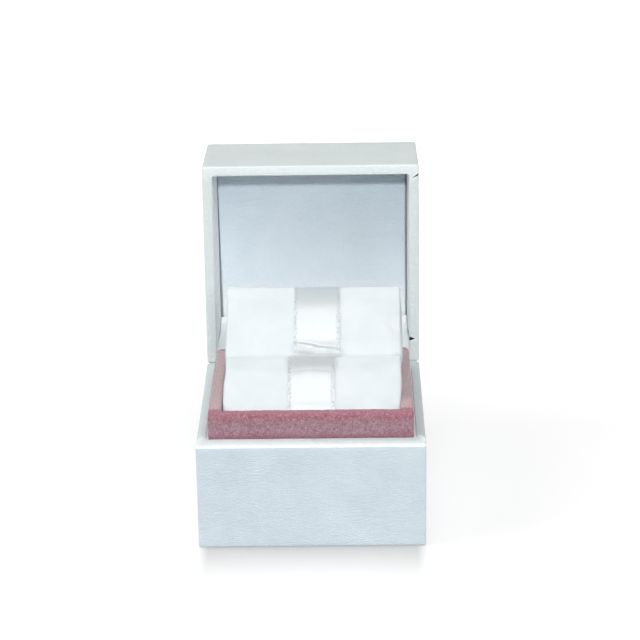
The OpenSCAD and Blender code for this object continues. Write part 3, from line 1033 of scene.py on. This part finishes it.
# %% [markdown]
# Each point asks for the nearest place on the velour and settles a hair's breadth above it.
# Just above the slit the ribbon was pushed in, which left one slanting fold, and below the slit
# it comes out with a low crown. Both are drawn as profiles, with a slow wave along them.

# %% Settle the ribbon and fold the tuck


SETTLED = 36.4         # below this height only points inside the velour are moved


def settle(piece, tree, gap, reach):
    """Brings each point to the same height over the skin, if it is within reach of it."""
    moved = 0
    for vertex in piece.data.vertices:
        place, normal, _, _ = tree.find_nearest(vertex.co)
        height = (vertex.co - place).dot(normal) / MM
        if height < gap or (height < reach and vertex.co.z > SETTLED * MM):
            vertex.co += normal * (gap - height) * MM
            moved += 1
    piece.data.update()
    return moved


# Places across the fold and along the depth, and how far the ribbon is lifted at each.
TUCK = ([-2.8, -2.1, -1.2, -0.85, -0.65, 0.3, 0.65], [0, 0.3, 0.44, 0.5, 0.48, -0.08, 0])
CROWN = ([-14, -8.5, -5.7, -3.6, -0.9], [0, 0.2, 0.3, 0.3, 0.28])
SLOPE = (0.766, 0.643)    # the pad's slope at the tuck, as (y, z)
TUCK_AT, TUCK_SLANT = 25.45, 0.17    # where the fold is along the slope, and how it slants


def fold_tuck(piece):
    """Presses a slanting fold into the upper ribbon and crowns the lower one at the slit."""
    for vertex in piece.data.vertices:
        x, y, z = vertex.co / MM
        wave = (math.sin(1.1 * x + 2.4) * 0.6 + math.sin(2.9 * x + 0.7) * 0.3
                + math.sin(6.1 * x) * 0.15)
        if z > 35.4 and y > slit:
            line = TUCK_AT - TUCK_SLANT * (x - UPPER_RIBBON) + 0.1 * wave
            lift = np.interp(SLOPE[0] * y + SLOPE[1] * z - line, *TUCK) * (1 + 0.25 * wave)
            vertex.co += Vector((0, -SLOPE[1], SLOPE[0])) * float(lift) * MM
        elif z > 29.5 and slit > y > -14 and (z > 35 or y < -1.2):
            side = 0.25 + 0.75 * (1 - ((x - LOWER_RIBBON) / (RIBBON_W / 2)) ** 2)
            vertex.co.z += float(np.interp(y, *CROWN)) * side * (1 + 0.2 * wave) * MM
    piece.data.update()


print("settled:", settle(ribbon, skin, 0.13, 0.9))
fold_tuck(ribbon)
settle(ribbon, skin, 0.1, 0)
modify(ribbon, "SMOOTH", factor=0.5, iterations=1)
modify(ribbon, "SOLIDIFY", thickness=RIBBON_THICK * MM, offset=0)
smooth(ribbon, 60)
dress(ribbon, satin_finish)
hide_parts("ribbon")
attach(ribbon, "base")
tell(ribbon)

# %% [markdown]
# ## The paper hinge
# Outside, the wrap runs on across the back crease in one strip of the same paper. Inside, a
# strip of lining joins the two halves and draws taut when the lid stands open. Cut in two at
# the crease they would gape as the lid moves, so each is one strip across the crease.

# %% Strips across the crease


def crease_strip(name, points, width, thickness):
    """A paper strip along (y, z) points, of the given width."""
    line, length = rounded_path(points, 0.25)
    let_go()
    bpy.ops.mesh.primitive_grid_add(x_subdivisions=48, y_subdivisions=len(line) - 1, size=1)
    piece = bpy.context.object
    piece.name = piece.data.name = name
    for vertex in piece.data.vertices:
        row = round((vertex.co.y + 0.5) * (len(line) - 1))
        vertex.co = Vector((vertex.co.x * width, *line[row])) * MM
    modify(piece, "SOLIDIFY", thickness=thickness * MM, offset=0)
    smooth(piece, 60)
    print(name, "length in mm:", round(length, 2))
    return piece


hy, hz = HINGE.y, HINGE.z
fold = crease_strip("hinge_fold", [(hy + 0.07, hz - 6), (hy + 0.07, hz - 0.3), (hy + 0.3, hz - 0.1),
                                   (hy + 6, hz - 0.49)], 49.0, 0.1)
dress(fold, base_finish)
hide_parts("hinge_cloth_lower", "hinge_cloth_upper")
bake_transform(fold)

stay = crease_strip("hinge_stay_strip", [(21.05, 15.6), (21.05, 24.5), (23.9, 26.85), (32.9, 26.2)],
                    38.0, 0.15)
dress(stay, lining_finish)
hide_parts("hinge_stay")
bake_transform(stay)
tell(fold)
tell(stay)

# %% [markdown]
# Inside the lid the lining doesn't follow the corner between the rear wall and the panel. The
# paper was laid in before the panel, so it rises in a soft curve to the panel's lower edge.

# %% Lining across the lid's lower corner
COVE = [(25.3, 27.05), (34, 26.45), (40.5, 26.2), (43.6, 26.7), (45.1, 27.9)]
cove = crease_strip("lid_cove_lining", COVE, 45.3, 0.12)
dress(cove, lining_finish)
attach(cove, "lid")
tell(cove)

# %% [markdown]
# ## Finishes on the frame's own pieces
# The boards, tapes and cards keep the frame's shape, because that shape is right. They only
# need their finish.

# %% Dress the frame's pieces
for name, node in frame["nodes"].items():
    if node.hide_render:
        continue
    if name.endswith("_board") or name.endswith("_card"):
        finish = board_finish
    elif name.endswith("_tapes"):
        finish = tape_finish
    elif name == "base_bottom_sheet":
        finish = base_finish
    else:
        finish = lining_finish
    node.data.materials.clear()
    node.data.materials.append(finish)
    print(name, "is in", finish.name)

# %% [markdown]
# ## Camera
# The camera stands in front and looks down by about 21 degrees through a long lens. It could be
# aimed at the box with a constraint, but its turn, tilt and roll are known, so its matrix is
# built from these three angles.

# %% Camera
camera = bpy.data.objects.new("camera", bpy.data.cameras.new("camera"))
scene.collection.objects.link(camera)
yaw, pitch, roll = -0.01372, -0.37234, -0.01580
ahead = Vector((math.sin(yaw) * math.cos(pitch), math.cos(yaw) * math.cos(pitch), math.sin(pitch)))
level = ahead.cross(Vector((0, 0, 1))).normalized()
right = level * math.cos(roll) + level.cross(ahead) * math.sin(roll)
up = right.cross(ahead)
camera.matrix_world = Matrix((right, up, -ahead)).transposed().to_4x4()
camera.location = Vector((8.381, -457.457, 223.174)) * MM
camera.data.lens = 123.95
camera.data.clip_start, camera.data.clip_end = 0.01, 20
scene.camera = camera
print("camera looks down by", round(math.degrees(math.asin(-ahead.z)), 1), "degrees")

# %% [markdown]
# ## Light
# The light is plain and soft: a key from the front, 23 degrees up, broad panels above and at the
# sides, and a low light from behind, so that the back isn't lost in shade. Satin shows what it
# mirrors. So two strips stand where the ribbon's slopes look, and the lamps that would put a
# glare on it aren't mirrored. White surroundings fill in, at full strength only to the camera.

# %% Lamps and surroundings
scene.view_settings.view_transform = "Standard"
TARGET = Vector((0, 0.01, 0.035))


def lamp(kind, name, azimuth, elevation, energy, size, deep=0):
    """A lamp a metre from the box and aimed at it, with its azimuth from the front."""
    light = bpy.data.lights.new(name, kind)
    holder = bpy.data.objects.new(name, light)
    scene.collection.objects.link(holder)
    a, e = math.radians(azimuth), math.radians(elevation)
    way = Vector((math.sin(a) * math.cos(e), -math.cos(a) * math.cos(e), math.sin(e)))
    holder.location = TARGET + way
    holder.rotation_euler = (TARGET - holder.location).to_track_quat("-Z", "Y").to_euler()
    holder.visible_camera = False
    light.energy = energy
    if kind == "SUN":
        light.angle = math.radians(size)
    else:
        light.shape, light.size, light.size_y = "RECTANGLE", size, deep or size
    print(name, "from", azimuth, "and", elevation, "degrees, strength", energy)
    return holder


unmirrored = [lamp("SUN", "key_light", 0, 23.4, 1.46, 2.5),
              lamp("AREA", "front_top_panel", 0, 62, 1.52, 0.7),
              lamp("AREA", "rear_top_panel", 180, 60, 0.7, 0.7),
              lamp("SUN", "back_light", 180, 1.5, 0.85, 3)]
for holder in unmirrored:
    holder.visible_glossy = False
lamp("AREA", "fold_strip", 0, 50, 0.31, 0.35).visible_diffuse = False
lamp("AREA", "left_panel", -80, 30, 6.0, 0.7)
lamp("AREA", "right_panel", 80, 30, 1.05, 0.7)
lamp("AREA", "right_front_panel", 50, 25, 2.86, 0.7)
lamp("AREA", "overhead_strip", 0, 84, 1.36, 0.4, 0.75)

FILL = 0.14            # strength of the surroundings for all but the camera
world = bpy.data.worlds.new("surroundings")
scene.world = world
world.use_nodes = True
tree = world.node_tree
sky = tree.nodes["Background"]
sky.inputs["Color"].default_value = (1, 1, 1, 1)
path = tree.nodes.new("ShaderNodeLightPath")
seen = tree.nodes.new("ShaderNodeMath")
seen.operation = "MULTIPLY_ADD"
seen.inputs[1].default_value, seen.inputs[2].default_value = 1 - FILL, FILL
tree.links.new(path.outputs["Is Camera Ray"], seen.inputs[0])
tree.links.new(seen.outputs[0], sky.inputs["Strength"])

# %% [markdown]
# ## Floor
# The floor is one big plain. A catcher of shadows would leave it out of other renders, so it is
# a real surface that glows white for the camera and keeps the soft shade of the box. Just in
# front of the box a soft shadow is painted in: the glow and the colour are held back there.

# %% Floor
PAINTED_SHADOW_REACH = 21.0     # how far in front of the box its shade goes


def floor_finish():
    finish = Finish("studio_floor", Roughness=1.0, Specular_IOR_Level=0.0)
    rays = finish.add("LightPath")
    straight = finish.maths("MAXIMUM", rays.outputs["Is Camera Ray"], rays.outputs["Is Glossy Ray"])
    straight = finish.maths("MAXIMUM", straight, rays.outputs["Is Transmission Ray"])
    # A painted shadow: in front of the box the floor's colour and glow are held back.
    ahead_of = finish.maths("SUBTRACT", base_low.y, finish.part(finish.place(), "Y"))
    beside = finish.maths("ABSOLUTE", finish.part(finish.place(), "X"), 0.0)
    depth = finish.maths("POWER", finish.spread(ahead_of, PAINTED_SHADOW_REACH, 0), 1.45)
    under = finish.spread(ahead_of, -1.5, 0)
    span = finish.spread(beside, base_high.x + 0.6, base_high.x - 2)
    shade = finish.maths("MULTIPLY", finish.maths("MULTIPLY", depth, under), span)
    light = finish.maths("MULTIPLY_ADD", shade, -0.4, 1.0)
    seen = finish.blend(light, (0, 0, 0, 1), (0.5, 0.5, 0.5, 1))
    finish.give("Base Color", finish.blend(straight, (0.4, 0.4, 0.4, 1), seen))
    finish.shader.inputs["Emission Color"].default_value = (1, 1, 1, 1)
    away = finish.add("VectorMath", {0: finish.place()}, operation="LENGTH").outputs["Value"]
    glow = finish.spread(away, 60, 400, 0.55, 0.9)
    light = finish.maths("MULTIPLY", straight, light)
    finish.give("Emission Strength", finish.maths("MULTIPLY", light, glow))
    return finish.material


let_go()
bpy.ops.mesh.primitive_plane_add(size=8, location=(0, 0, -0.00002))
floor = bpy.context.object
floor.name = "floor"
floor.data.materials.append(floor_finish())
print("floor of", floor.dimensions.x, "m, surroundings at", FILL)
